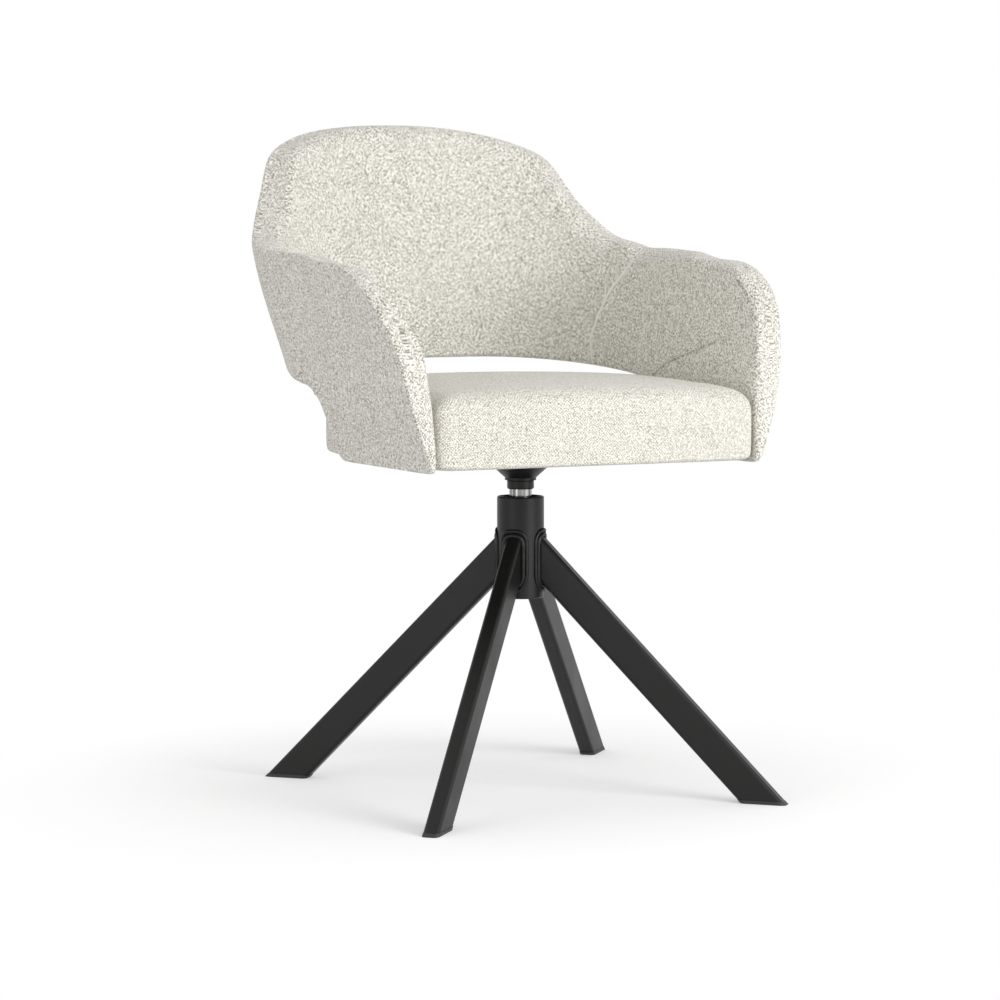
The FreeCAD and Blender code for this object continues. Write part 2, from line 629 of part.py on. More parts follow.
def hoop():
    high = SEAT_BOTTOM + BACK_RISE - HOOP_TOP_INSET
    high_y = back_outer(high) - back_padding(high) / 2
    return tube_along([
        (V(-HOOP_HALF_WIDTH, RAIL_Y, RAIL_Z), 0), (V(-HOOP_HALF_WIDTH, high_y, high), HOOP_CORNER),
        (V(HOOP_HALF_WIDTH, high_y, high), HOOP_CORNER), (V(HOOP_HALF_WIDTH, RAIL_Y, RAIL_Z), 0),
    ], HOOP_RADIUS).cut(rail())


def bracket(side):
    """A bent plate: a shelf under the seat board, an upright in the arm and a strap up to the rail."""
    thickness = BRACKET_THICKNESS
    shelf_end = ARM_INSIDE - BRACKET_SHELF
    upright = ARM_INSIDE + BRACKET_INSET
    bend = SEAT_BOTTOM + BRACKET_UPRIGHT
    strap = RAIL_X - RAIL_RADIUS - STRAP_PLAY - thickness
    points = [
        (shelf_end, SHELF_LOW), (upright + thickness, SHELF_LOW), (upright + thickness, bend),
        (strap + thickness, RAIL_Z), (strap, RAIL_Z), (upright, bend), (upright, SEAT_BOTTOM),
        (shelf_end, SEAT_BOTTOM),
    ]
    rear = BRACKET_MIDDLE - BRACKET_LENGTH / 2
    outline = [V(side * x, rear, z) for x, z in points]
    plate = prism(Part.makePolygon(outline + outline[:1]), V(0, BRACKET_LENGTH, 0))
    return drilled(plate, BRACKET_PLACES, BOLT_HOLE_RADIUS, SHELF_LOW, SEAT_BOTTOM)


def inner_panels(skin):
    """The inner skin as its three sewn panels: one in each arm and one across the back."""
    wide = SEAT_HALF_WIDTH * 2
    deep = SEAT_FRONT * 2
    tall = BACK_RISE * 2
    ahead = Part.makeBox(wide, deep + SEAM_REACH, tall, V(0, -deep, SEAT_BOTTOM - WALL_OVERRUN))
    left = skin.common(ahead)
    right = skin.common(ahead.mirror(V(0, 0, 0), V(1, 0, 0)))
    both = ahead.fuse(ahead.mirror(V(0, 0, 0), V(1, 0, 0)))
    return left, right, skin.cut(both)


def make_back():
    frame = {"frame_rail": rail(), "frame_hoop": hoop()}
    frame["arm_bracket_left"] = bracket(1)
    frame["arm_bracket_right"] = bracket(-1)
    for name, piece in frame.items():
        save(name, piece)
    inside = Part.makeCompound(list(frame.values()))
    save("back_foam", upholstered_wall(COVER_THICKNESS + COVER_PLAY).cut(inside))
    skin = upholstered_wall(0.0).cut(upholstered_wall(COVER_THICKNESS)).cut(inside)
    outer_half = upholstered_wall(-COVER_THICKNESS, 0.5)
    save("cover_outer", skin.common(outer_half))
    left, right, middle = inner_panels(skin.cut(outer_half))
    save("cover_inner_arm_left", left)
    save("cover_inner_arm_right", right)
    save("cover_inner_back", middle)


if __name__ == "__main__":
    os.makedirs("parts", exist_ok=True)
    make_base()
    make_column()
    make_bearing()
    make_mounting()
    make_seat()
    make_back()
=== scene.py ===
import json
import math

import bmesh
import bpy
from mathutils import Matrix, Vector, noise
from mathutils.bvhtree import BVHTree


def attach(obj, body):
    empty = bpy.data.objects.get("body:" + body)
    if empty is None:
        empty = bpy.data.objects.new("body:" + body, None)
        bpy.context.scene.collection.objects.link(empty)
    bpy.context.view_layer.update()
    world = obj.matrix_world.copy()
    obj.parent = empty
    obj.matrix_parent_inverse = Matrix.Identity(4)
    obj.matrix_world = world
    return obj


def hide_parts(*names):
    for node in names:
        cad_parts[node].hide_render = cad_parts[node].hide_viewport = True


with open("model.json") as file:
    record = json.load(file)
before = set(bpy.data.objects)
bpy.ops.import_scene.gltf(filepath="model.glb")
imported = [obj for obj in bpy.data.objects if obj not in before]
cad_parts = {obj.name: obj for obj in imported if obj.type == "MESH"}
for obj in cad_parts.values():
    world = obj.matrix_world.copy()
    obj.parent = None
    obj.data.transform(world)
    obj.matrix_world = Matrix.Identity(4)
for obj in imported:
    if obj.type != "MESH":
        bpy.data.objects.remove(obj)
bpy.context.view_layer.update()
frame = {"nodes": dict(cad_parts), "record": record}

scene = bpy.context.scene
nodes = frame["nodes"]
SOFT_WALL = ["cover_outer", "cover_inner_arm_left", "cover_inner_arm_right", "cover_inner_back"]
MM = 0.001


# Camera: fitted to the four feet and the hub, 0.70 m high and 4.1 m from the swivel axis

camera = bpy.data.objects.new("camera", bpy.data.cameras.new("camera"))
camera.location = (-1.8426, -3.6175, 0.7028)
camera.rotation_euler = (math.radians(85.186), 0, math.radians(-26.635))
camera.data.lens = 119.0
camera.data.sensor_width = 36.0
camera.data.clip_end = 60
scene.collection.objects.link(camera)
scene.camera = camera
scene.view_settings.view_transform = "Standard"


# Making materials

def linear(hex_colour):
    """An sRGB hex colour as Blender's linear one."""
    levels = [int(hex_colour[place:place + 2], 16) / 255 for place in (1, 3, 5)]
    return [v / 12.92 if v <= 0.04045 else ((v + 0.055) / 1.055) ** 2.4 for v in levels] + [1]


def join(tree, node, links):
    """Sets sockets of a shader node, each to a plain value or to another node's output."""
    for socket, value in links.items():
        if isinstance(value, bpy.types.NodeSocket):
            tree.links.new(value, node.inputs[socket])
        else:
            node.inputs[socket].default_value = value


def add(tree, kind, links=None, **settings):
    """Adds one shader node: settings are its own, links its sockets' values or sources."""
    made = tree.nodes.new("ShaderNode" + kind)
    for name, value in settings.items():
        setattr(made, name, value)
    join(tree, made, links or {})
    return made


def maths(tree, operation, *values):
    return add(tree, "Math", dict(enumerate(values)), operation=operation).outputs[0]


def vectors(tree, operation, *values):
    return add(tree, "VectorMath", dict(enumerate(values)), operation=operation).outputs[0]


def measured(tree, operation, *values):
    """The one number that a step of vector arithmetic gives, such as a length."""
    return add(tree, "VectorMath", dict(enumerate(values)), operation=operation).outputs["Value"]


def scaled(tree, vector, factor):
    return add(tree, "VectorMath", {0: vector, "Scale": factor}, operation="SCALE").outputs[0]


def spread(tree, value, given, result=(0.0, 1.0), **settings):
    """A value drawn from the range given to the range of the result, and held inside it."""
    links = {0: value, 1: given[0], 2: given[1], 3: result[0], 4: result[1]}
    return add(tree, "MapRange", links, **settings).outputs[0]


def noisy(tree, place, scale, detail, **more):
    """A noise texture's strength, around 0.5."""
    links = {"Vector": place, "Scale": scale, "Detail": detail, **more}
    return add(tree, "TexNoise", links).outputs["Fac"]


def drawn_noise(tree, place, scale, detail, **more):
    """The same with a scale for each axis, so that its spots are drawn out."""
    place = add(tree, "Mapping", {"Vector": place, "Scale": scale}).outputs[0]
    return noisy(tree, place, 1.0, detail, **more)


def blended(tree, share, first, second):
    """One colour to another as share goes from 0 to 1."""
    return add(tree, "Mix", {0: share, 6: first, 7: second}, data_type="RGBA").outputs[2]


def bumps(tree, height, distance, strength, **more):
    """Small relief: the distance is in metres."""
    links = {"Height": height, "Distance": distance, "Strength": strength, **more}
    return add(tree, "Bump", links).outputs[0]


def seen_ray(tree):
    """1 for a ray that shows the surroundings, 0 for one that lights the object."""
    path = add(tree, "LightPath").outputs
    seen = maths(tree, "MAXIMUM", path["Is Camera Ray"], path["Is Glossy Ray"])
    return maths(tree, "MAXIMUM", seen, path["Is Transmission Ray"])


def object_place(tree):
    return add(tree, "TexCoord").outputs["Object"]


def new_material(name):
    material = bpy.data.materials.new(name)
    material.use_nodes = True
    shader = material.node_tree.nodes["Principled BSDF"]
    return material, material.node_tree, shader


def dress(piece, material):
    piece.data.materials.clear()
    piece.data.materials.append(material)


THREAD = 0.00185            # thread spacing of the upholstery cloth, 3.7 mm to a full repeat


def crossed_threads(tree, lain, facing):
    """The plain weave: above 0 where a warp thread lies on top, below 0 where a weft thread does."""
    turned = scaled(tree, scaled(tree, lain, 1 / THREAD), math.pi)
    wave = add(tree, "SeparateXYZ", {0: vectors(tree, "SINE", turned)}).outputs
    # The stitch on each of the three ways that the cloth can face
    crossed = [maths(tree, "MULTIPLY", wave[a], wave[b]) for a, b in ((1, 2), (0, 2), (0, 1))]
    crossed = add(tree, "CombineXYZ", dict(enumerate(crossed))).outputs[0]
    squared = vectors(tree, "MULTIPLY", facing, facing)
    weight = vectors(tree, "MULTIPLY", squared, squared)
    total = measured(tree, "DOT_PRODUCT", weight, (1, 1, 1))
    return maths(tree, "DIVIDE", measured(tree, "DOT_PRODUCT", crossed, weight), total)


def slub_weave(name, pale, dark, contrast, grain):
    """Chunky plain weave of a linen and polyester slub yarn: matt, flecked, with a soft nap."""
    material, tree, shader = new_material(name)
    lie = add(tree, "Attribute", attribute_name="lie").outputs["Vector"]
    facing = add(tree, "Attribute", attribute_name="facing").outputs["Vector"]
    # Threads wander by up to 2 mm, as hand-laid cloth does
    drift = add(tree, "TexNoise", {"Vector": lie, "Scale": 90.0, "Detail": 2.0}).outputs["Color"]
    drift = scaled(tree, vectors(tree, "SUBTRACT", drift, (0.5, 0.5, 0.5)), 0.004)
    lain = vectors(tree, "ADD", lie, drift)
    stitch = crossed_threads(tree, lain, facing)
    dome = maths(tree, "ABSOLUTE", stitch)
    # Each thread's own tone, drawn out along the warp and along the weft
    warp = drawn_noise(tree, lain, (4 * grain, 4 * grain, 3 * grain), 1.0)
    weft = drawn_noise(tree, lain, (3 * grain, 3 * grain, 4 * grain), 1.0)
    weft = maths(tree, "ADD", weft, 0.20)
    yarn = add(tree, "Mix", {0: spread(tree, stitch, (-0.25, 0.25)), 2: warp, 3: weft}).outputs[0]
    fleck = noisy(tree, lain, 3.9 * grain, 1.0, Roughness=0.75)
    tone = spread(tree, maths(tree, "ADD", yarn, fleck), contrast)
    colour = blended(tree, tone, linear(dark), linear(pale))
    # Painted shade: the colour darkens in the low gaps between the crossing threads
    gap = spread(tree, dome, (0.0, 0.45), (0.78, 1.0))
    cloud = spread(tree, noisy(tree, lie, 14.0, 2.0), (0.3, 0.7), (0.985, 1.01))
    # Seams, from the distances kept with the mesh: a sunk fold along each, the piped one of the back a pale
    # line of painted highlight on its lip, the tuck of the arm a dark line of painted shade in its crease,
    # which its stitches break up
    seams = add(tree, "Attribute", attribute_name="seams").outputs["Vector"]
    apart = add(tree, "SeparateXYZ", {0: vectors(tree, "ABSOLUTE", seams)}).outputs
    nearest = maths(tree, "MINIMUM", apart[1], apart[2])
    sunk = spread(tree, nearest, (0.0003, 0.0026), interpolation_type="SMOOTHSTEP")
    # Painted shade: a dark dashed line in the arm tuck's crease, darkening the colour down to about two
    # thirds
    stitches = spread(tree, noisy(tree, lie, 260.0, 0.0), (0.45, 0.55), (0.95, 0.66))
    line = spread(tree, apart[2], (0.0007, 0.0019), (stitches, 1.0))
    shade = maths(tree, "MULTIPLY", maths(tree, "MULTIPLY", gap, cloud), line)
    # Painted highlight: the colour is drawn toward near white #fdfbf4 along the lip of the back's piped
    # seam
    piping_highlight = spread(tree, apart[1], (0.0010, 0.0022), (0.92, 0.0))
    nap = bumps(tree, maths(tree, "MULTIPLY_ADD", fleck, 0.9, dome), 0.0005, 0.40)
    join(tree, shader, {
        "Base Color": blended(tree, piping_highlight, scaled(tree, colour, shade), linear("#fdfbf4")),
        "Normal": bumps(tree, sunk, 0.0016, 0.9, Normal=nap),
        "Roughness": 0.92, "Specular IOR Level": 0.25, "Sheen Weight": 0.25, "Sheen Roughness": 0.5,
    })
    return material


def powder_coat(name, colour):
    """Polyester powder coat on steel: near black, a fine orange-peel grain, a dull even gloss."""
    material, tree, shader = new_material(name)
    place = object_place(tree)
    # Real grain is about 0.3 mm; drawn at 0.9 mm so that it shows
    grain = noisy(tree, place, 1100.0, 2.0)
    cloud = noisy(tree, place, 18.0, 3.0)
    shade = spread(tree, grain, (0.3, 0.7), (0.86, 1.14))
    join(tree, shader, {
        "Base Color": scaled(tree, linear(colour)[:3], shade),
        "Roughness": spread(tree, cloud, (0.3, 0.7), (0.34, 0.43)),
        "Normal": bumps(tree, grain, 0.0002, 0.35),
        "IOR": 1.5, "Specular IOR Level": 0.3,
    })
    return material


def turned_steel(name, colour, roughness):
    """Steel turned on a lathe and plated: fine rings round the axis, and bright streaks down it that are
    painted reflection.
    """
    material, tree, shader = new_material(name)
    place = object_place(tree)
    rings = drawn_noise(tree, place, (40.0, 40.0, 3000.0), 3.0)
    # Painted reflection: light and dark streaks down the steel, multiplied into its base colour
    painted_reflection_streaks = drawn_noise(tree, place, (230.0, 230.0, 3.0), 1.0)
    painted_reflection_streaks = spread(tree, painted_reflection_streaks, (0.42, 0.58), (0.30, 1.0))
    shade = maths(tree, "MULTIPLY", spread(tree, rings, (0.35, 0.65), (0.85, 1.05)), painted_reflection_streaks)
    join(tree, shader, {
        "Base Color": scaled(tree, linear(colour)[:3], shade),
        "Roughness": spread(tree, rings, (0.0, 1.0), (roughness * 0.8, roughness * 1.2)),
        "Normal": bumps(tree, rings, 0.00005, 0.3),
        "Metallic": 1.0,
    })
    return material


def moulded_nylon(name, colour):
    """Injection-moulded nylon: deep grey, a spark-eroded grain, slightly waxy."""
    material, tree, shader = new_material(name)
    grain = noisy(tree, object_place(tree), 1500.0, 1.0)
    shade = spread(tree, grain, (0.3, 0.7), (0.9, 1.1))
    join(tree, shader, {
        "Base Color": scaled(tree, linear(colour)[:3], shade),
        "Normal": bumps(tree, grain, 0.0001, 0.3),
        "Roughness": 0.5, "IOR": 1.53,
    })
    return material


def birch_ply(name):
    """Birch plywood: pale face grain along the depth."""
    material, tree, shader = new_material(name)
    grain = drawn_noise(tree, object_place(tree), (140.0, 9.0, 670.0), 5.0, Distortion=0.4)
    grain = spread(tree, grain, (0.35, 0.65))
    join(tree, shader, {
        "Base Color": blended(tree, grain, linear("#b98d5a"), linear("#dcb98a")),
        "Normal": bumps(tree, grain, 0.0002, 0.3),
        "Roughness": 0.6,
    })
    return material


def spunbond(name):
    """Black non-woven polypropylene lining: flat fibres pressed with a grid of small points."""
    material, tree, shader = new_material(name)
    place = object_place(tree)
    points = add(tree, "TexVoronoi", {"Vector": place, "Scale": 450.0, "Randomness": 0.15})
    points = spread(tree, points.outputs["Distance"], (0.15, 0.4))
    shade = maths(tree, "MULTIPLY", noisy(tree, place, 900.0, 4.0), points)
    join(tree, shader, {
        "Base Color": blended(tree, shade, linear("#1c1c1c"), linear("#3c3c3b")),
        "Normal": bumps(tree, shade, 0.0003, 0.6),
        "Roughness": 0.85,
    })
    return material


upholstery = slub_weave("ivory_slub_weave", "#f8f6ee", "#a8a191", (0.90, 1.20), 160.0)
# The same cloth on the wall, with a coarser and stronger grain, nearer the photo's there
stretched = slub_weave("ivory_slub_weave_stretched", "#fdfbf3", "#989182", (0.93, 1.16), 122.0)
coat = powder_coat("matt_black_powder_coat", "#141413")
primer = powder_coat("black_primer", "#2a2a2a")
chrome = turned_steel("polished_chrome", "#d4d4d2", 0.16)
zinc = turned_steel("zinc_plated_steel", "#b4b6b8", 0.32)
ground_steel = turned_steel("ground_bearing_steel", "#a8abaf", 0.22)
nylon = moulded_nylon("black_moulded_nylon", "#232323")
plywood = birch_ply("birch_plywood")
lining = spunbond("black_spunbond_lining")

FINISHES = {
    "base_coat": coat, "column_coat": coat, "glide": nylon, "bush": nylon, "bearing": ground_steel,
    "fastener": zinc, "chrome": chrome, "plywood": plywood, "lining": lining, "frame_coat": primer,
    "cover": upholstery, "foam": upholstery,
}
for part in frame["record"]["subparts"]:
    dress(nodes[part["node"]], FINISHES[part["material_slot"]])


# The padded wall of the back and arms. Its face is laid out flat: c runs along the wall from the
# front of an arm (0) to the middle of the back (1), z is the height. Rays towards the CAD covers
# give where the cloth lies at each place. All in mm.

WALL_TURN = 178.0           # plan radius of the wall's middle line at the back corners
ARM_FRONT = 211.0           # how far ahead of the swivel axis the layout starts
FLAT_LENGTH = 672.0         # half the wall's length where the columns' ends are given
SEAT_LINE = 416.0
RAY_LOW = SEAT_LINE + 0.4   # no ray goes lower or further ahead than these
RAY_AHEAD = -12
RAY_START = 110             # how far off the wall's middle a ray starts
LEVELS = [                  # z, then half the width and the reach behind the axis of the wall's middle
    (404, 215.5, 234), (430, 219, 242), (465, 226, 252), (514, 234, 266), (568, 246, 280),
    (612, 256, 291), (660, 263, 304), (740, 261, 326), (840, 256, 353),
]


def around(table, t):
    """The rows of a table on either side of t, and how far t is from the first to the second."""
    for low, high in zip(table, table[1:]):
        if t <= high[0]:
            break
    return low[1:], high[1:], (t - low[0]) / (high[0] - low[0])


def plan_runs(z):
    """The wall's middle line at height z: half width, reach, straight run, turn and whole length."""
    low, high, share = around(LEVELS, z)
    half, reach = (a + (b - a) * share for a, b in zip(low, high))
    straight = reach - WALL_TURN + ARM_FRONT
    turn = math.pi / 2 * WALL_TURN
    return half, reach, straight, turn, straight + turn + half - WALL_TURN


def wall_place(c, z):
    """The wall's middle at a place on the flat layout, and the way out of it."""
    half, reach, straight, turn, length = plan_runs(z)
    along = c * length
    if along < straight:
        return Vector((half, along - ARM_FRONT, z)), Vector((1, 0, 0))
    angle = (along - straight) / WALL_TURN
    if angle < math.pi / 2:
        out = Vector((math.cos(angle), math.sin(angle), 0))
        return Vector((half - WALL_TURN, reach - WALL_TURN, z)) + out * WALL_TURN, out
    return Vector((half - WALL_TURN - (along - straight - turn), reach, z)), Vector((0, 1, 0))


def laid_flat(place):
    """Where a place lies on the cloth (from the back's middle, off the wall's middle, z), and its out."""
    half, reach, straight, turn, length = plan_runs(place.z)
    spot = Vector((abs(place.x) - half + WALL_TURN, place.y - reach + WALL_TURN))
    if spot.x > 0 and spot.y > 0:
        out = spot.normalized()
        along, off = straight + WALL_TURN * math.atan2(spot.y, spot.x), spot.length - WALL_TURN
    elif spot.y > 0:
        out, along, off = Vector((0, 1)), straight + turn - spot.x, spot.y - WALL_TURN
    else:
        out, along, off = Vector((1, 0)), place.y + ARM_FRONT, spot.x - WALL_TURN
    return Vector(((along - length) * (1 if place.x > 0 else -1), off, place.z)), out


def cloth_tree(names):
    mesh = bmesh.new()
    for name in names:
        mesh.from_mesh(nodes[name].data)
    return BVHTree.FromBMesh(mesh)


covers = cloth_tree(SOFT_WALL)


def face_hit(spot, side):
    """Where the outer (+1) or inner (-1) face lies at a spot of the layout, or None off its edge."""
    middle, out = wall_place(spot[0] / FLAT_LENGTH, spot[1])
    start = middle + out * side * RAY_START
    hit = covers.ray_cast(start * MM, -out * side, RAY_START * MM)
    return hit[0] / MM if hit[0] else None


# Each column of the layout runs from the rear or lower edge to the front or upper edge.
COLUMNS = [                 # t, then a spot beyond each of the two edges: (length along at 672, z)
    (0.00, (322, 417), (-14, 417)), (0.05, (320, 440), (-14, 452)), (0.10, (316, 464), (-14, 497)),
    (0.15, (306, 479), (-14, 545)), (0.20, (304, 486), (-4, 600)), (0.25, (308, 487), (26, 655)),
    (0.30, (317, 486), (80, 700)), (0.35, (326, 485), (145, 712)), (0.40, (336, 485), (205, 720)),
    (0.46, (350, 486), (266, 730)), (0.52, (368, 488), (318, 750)), (0.60, (400, 490), (366, 800)),
    (0.70, (450, 495), (430, 860)), (0.80, (510, 500), (500, 880)), (0.90, (590, 505), (585, 890)),
    (1.00, (672, 505), (672, 890)),
]
EDGE_ROLLS = [              # t, then (run, depth) of the roll at the rear or lower, front or upper edge
    (0.00, (2, 2), (5, 3)), (0.06, (4, 4), (9, 8)), (0.14, (8, 8), (18, 18)), (0.25, (9, 10), (24, 28)),
    (0.45, (9, 10), (30, 34)), (0.60, (9, 10), (32, 34)), (1.00, (9, 10), (26, 28)),
]
ROLL_SHARE = 0.75           # a roll takes no more of the wall's depth than this
CREASE = [(2.2, 0.0), (0.65, 0.65), (0.0, 2.2)]     # (run, depth) round the sewn outer edge
STRIP_ROWS = 3
ROLL_ROWS = 5
FACE_ROWS = 26
FIRST_INNER = FACE_ROWS + len(CREASE) + STRIP_ROWS + ROLL_ROWS - 2      # the row where the roll ends
HALF_COLUMNS = 110
HALVINGS = 16               # how often the search for an edge halves its step
EVENING = 24                # passes that even the wall out along its length
EVEN_IN, EVEN_OUT = 0.5, -0.53      # each pass draws the points in, then a little more out

HEM_DROP = 3.0              # the cloth turns under this far below the seat cover's edge
HEM_REACH = 44.0
TIP_ROUND = 9.0             # the arm's tip is rounded off by this much at its foot
TIP_RISE = 18.0
TIP_START = -190.0
TIP_REACH = 16.0
BOW_DROP = 4.5              # the top of the arm hangs this much in the middle of its level part
BOW_MIDDLE = 38.0
BOW_SPREAD = 60.0
BOW_HEIGHTS = (600.0, 67.0)     # from this height up, over this rise
FOOT_INSET = 0.0012

# Seams on the inner face: (length from the back's middle, z)
BACK_SEAM = [(-420, 700), (-363, 669), (-333, 653), (-283, 614), (-257, 581), (-241, 552), (-236, 480)]
ARM_TUCK = [(-362, 500), (-368, 506), (-390, 516), (-413, 525), (-471, 539), (-536, 555)]
NO_SEAM = 99.0              # kept for a point that no seam is near


def spots_between(table, t):
    low, high, share = around(table, t)
    return [Vector(a).lerp(Vector(b), share) for a, b in zip(low, high)]


def edge_share(start, end, side):
    """How far from start towards end the cloth goes, as a part of 1."""
    inside, outside = 0.0, 1.0
    for step in range(HALVINGS):
        share = (inside + outside) / 2
        along, z = start.lerp(end, share)
        if face_hit((max(along, RAY_AHEAD), max(z, RAY_LOW)), side):
            inside = share
        else:
            outside = share
    return inside


def column_points(t):
    """One ring of the wall: over its outer face, round an edge, over its inner face and back round."""
    rear, front = spots_between(COLUMNS, t)
    middle = rear.lerp(front, 0.5)
    ends = {
        side: [middle.lerp(end, edge_share(middle, end, side)) for end in (rear, front)]
        for side in (1, -1)
    }

    def at(side, run, top):
        """The spot that lies a run in from one edge of a face, and its place on the cloth."""
        low, high = ends[side]
        start, end = (high, low) if top else (low, high)
        spot = start + (end - start).normalized() * run
        spot.y = max(spot.y, RAY_LOW)
        return spot, face_hit(spot, side)

    def edge(top, roll):
        """From the outer face round an edge to the inner face, and the run that the roll takes."""
        spot, outer = at(1, 0.0, top)
        _, inner = at(-1, 0.0, top)
        _, out = wall_place(spot.x / FLAT_LENGTH, spot.y)
        deep = (outer - inner).length
        run_in, roll_in = min(roll[0], deep), min(roll[1], deep * ROLL_SHARE)
        points = [at(1, run, top)[1].lerp(inner, depth / deep) for run, depth in CREASE]
        crease = CREASE[-1][1]
        for row in range(1, STRIP_ROWS + 1):
            depth = crease + (deep - roll_in - crease) * row / (STRIP_ROWS + 1)
            points.append(outer.lerp(inner, depth / deep))
        for row in range(ROLL_ROWS):
            turn = math.pi / 2 * row / ROLL_ROWS
            lift = roll_in * (1 - math.sin(turn))
            points.append(at(-1, run_in * (1 - math.cos(turn)), top)[1] + out * lift)
        return points, run_in

    def face(side, start_run, end_run):
        """The rows of a face between the runs that its edges take."""
        low, high = ends[side]
        left = (high - low).length - start_run - end_run
        return [at(side, start_run + left * row / FACE_ROWS, False)[1] for row in range(1, FACE_ROWS)]

    rear_roll, front_roll = spots_between(EDGE_ROLLS, t)
    rear_edge, rear_run = edge(False, rear_roll)
    front_edge, front_run = edge(True, front_roll)
    outer = face(1, CREASE[0][0], CREASE[0][0])
    inner = face(-1, rear_run, front_run)
    return outer + front_edge + inner[::-1] + rear_edge[::-1]


def seam_distance(points, spot):
    """How far a spot on the layout is from a seam, below 0 on its left, in mm."""
    best = None
    for a, b in zip(points, points[1:]):
        a, b = Vector(a), Vector(b)
        run = b - a
        share = min(max((spot - a).dot(run) / run.length_squared, 0), 1)
        gap = spot - (a + run * share)
        side = 1 if run.x * gap.y - run.y * gap.x > 0 else -1
        if best is None or gap.length < abs(best):
            best = gap.length * side
    return best


def evened(lines, passes):
    """Smooths each line of points that runs along the wall, without drawing it in."""
    for weight in (EVEN_IN, EVEN_OUT) * passes:
        lines = [
            [line[0]] + [
                spot.lerp((before + after) / 2, weight)
                for before, spot, after in zip(line, line[1:], line[2:])
            ] + [line[-1]]
            for line in lines
        ]
    return lines


def held(value):
    return min(max(value, 0), 1)


def fitted(place):
    """A place with the cloth's own way off the padding: a lower hem, rounder arm tips, softer tops."""
    rise = place.z - SEAT_LINE
    low = max(1 - rise / HEM_REACH, 0)
    tip = max(1 - rise / TIP_RISE, 0) * held((TIP_START - place.y) / TIP_REACH)
    start, over = BOW_HEIGHTS
    bow = math.exp(-((place.y - BOW_MIDDLE) / BOW_SPREAD) ** 2) * held((place.z - start) / over)
    return place + Vector((0, TIP_ROUND * tip ** 2, -HEM_DROP * low ** 2 - BOW_DROP * bow))


def smooth_faces(shape):
    for face in shape.faces:
        face.smooth = True


def wall_mesh():
    """The whole wall: the rings of one half, then their mirror images."""
    half = [column_points(k / HALF_COLUMNS) for k in range(HALF_COLUMNS + 1)]
    rings = [(ring, 1) for ring in half] + [(ring, -1) for ring in half[-2::-1]]
    columns, rows = len(rings), len(half[0])
    lines = [
        [Vector((ring[row].x * side, ring[row].y, ring[row].z)) for ring, side in rings]
        for row in range(rows)
    ]
    lines = evened(lines, EVENING)
    shape = bmesh.new()
    lie = shape.verts.layers.float_vector.new("lie")
    seams = shape.verts.layers.float_vector.new("seams")
    bmesh.ops.create_grid(shape, x_segments=columns - 1, y_segments=rows, size=1)
    for vert in shape.verts:
        column = round((vert.co.x + 1) / 2 * (columns - 1))
        row = round((vert.co.y + 1) / 2 * rows) % rows
        place = lines[row][column]
        flat, _ = laid_flat(place)
        vert.co = place * MM
        vert[lie] = flat * MM
        gaps = [NO_SEAM, NO_SEAM]
        if row >= FIRST_INNER:
            spot = Vector((-abs(flat.x), flat.z))
            gaps = [seam_distance(seam, spot) for seam in (BACK_SEAM, ARM_TUCK)]
        vert[seams] = Vector((NO_SEAM, *gaps)) * MM
    bmesh.ops.remove_doubles(shape, verts=shape.verts, dist=1e-5)
    feet = bmesh.ops.holes_fill(shape, edges=[e for e in shape.edges if e.is_boundary])["faces"]
    bmesh.ops.inset_region(shape, faces=feet, thickness=FOOT_INSET, depth=0.0)
    for face in feet:
        for vert in face.verts:
            vert.co.z = SEAT_LINE * MM
    for vert in shape.verts:
        vert.co = fitted(vert.co / MM) * MM
    bmesh.ops.recalc_face_normals(shape, faces=shape.faces)
    smooth_faces(shape)
    return shape


def finished(shape, name, material):
    """A bmesh as an object of the scene, with its material."""
    mesh = bpy.data.meshes.new(name)
    shape.to_mesh(mesh)
    piece = bpy.data.objects.new(name, mesh)
    scene.collection.objects.link(piece)
    dress(piece, material)
    return piece


def wall_ways(piece):
    """Which way each point of the wall faces, in the flat cloth's own frame."""
    ways = []
    for vert in piece.data.vertices:
        _, out = laid_flat(vert.co / MM)
        ahead, aside = vert.normal.y, vert.normal.x * (1 if vert.co.x > 0 else -1)
        ways.append(Vector((aside * out.y - ahead * out.x, aside * out.x + ahead * out.y, vert.normal.z)))
    return ways


def set_facing(piece, ways):
    """Keeps which way each point faces with the mesh, for the weave to follow."""
    facing = piece.data.attributes.new("facing", "FLOAT_VECTOR", "POINT")
    for vert, way in zip(piece.data.vertices, ways):
        facing.data[vert.index].vector = way


def subdivided(piece, levels):
    smoothing = piece.modifiers.new("fine", "SUBSURF")
    smoothing.levels = smoothing.render_levels = levels


wall = finished(wall_mesh(), "back_and_arms", stretched)
set_facing(wall, wall_ways(wall))
subdivided(wall, 1)
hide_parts("back_foam", *SOFT_WALL)
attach(wall, "seat")


# The seat: the padding's own block, blown up a little under its cover. In metres.

SEAT_GRID = 0.005
SOFTENING = 6               # smoothing passes over the block's corners
BLOW_FRAMES = 20
BLOW_PRESSURE = 4.0
SEAT_SIDE = 0.2127          # half the width of the seat, which the arms grip
CORNER_SIDE = 0.180         # the front corners' rounds start here
CORNER_FRONT = 0.179
CORNER_POWER = 4            # 2 is a round, more is nearer a square
HEM_HEIGHT = 0.42194        # the cover is held fast below this
TOP_HEIGHT = 0.4754         # and gives as its top does above this
GRIP_SIDE = 0.1965          # the arms hold what is further out than this,
GRIP_FRONT = -0.205         # and further back than this
GIVE_GRIPPED, GIVE_CORNER = 0.0006, 0.002
GIVE_TOP, GIVE_FRONT = 0.0018, 0.003


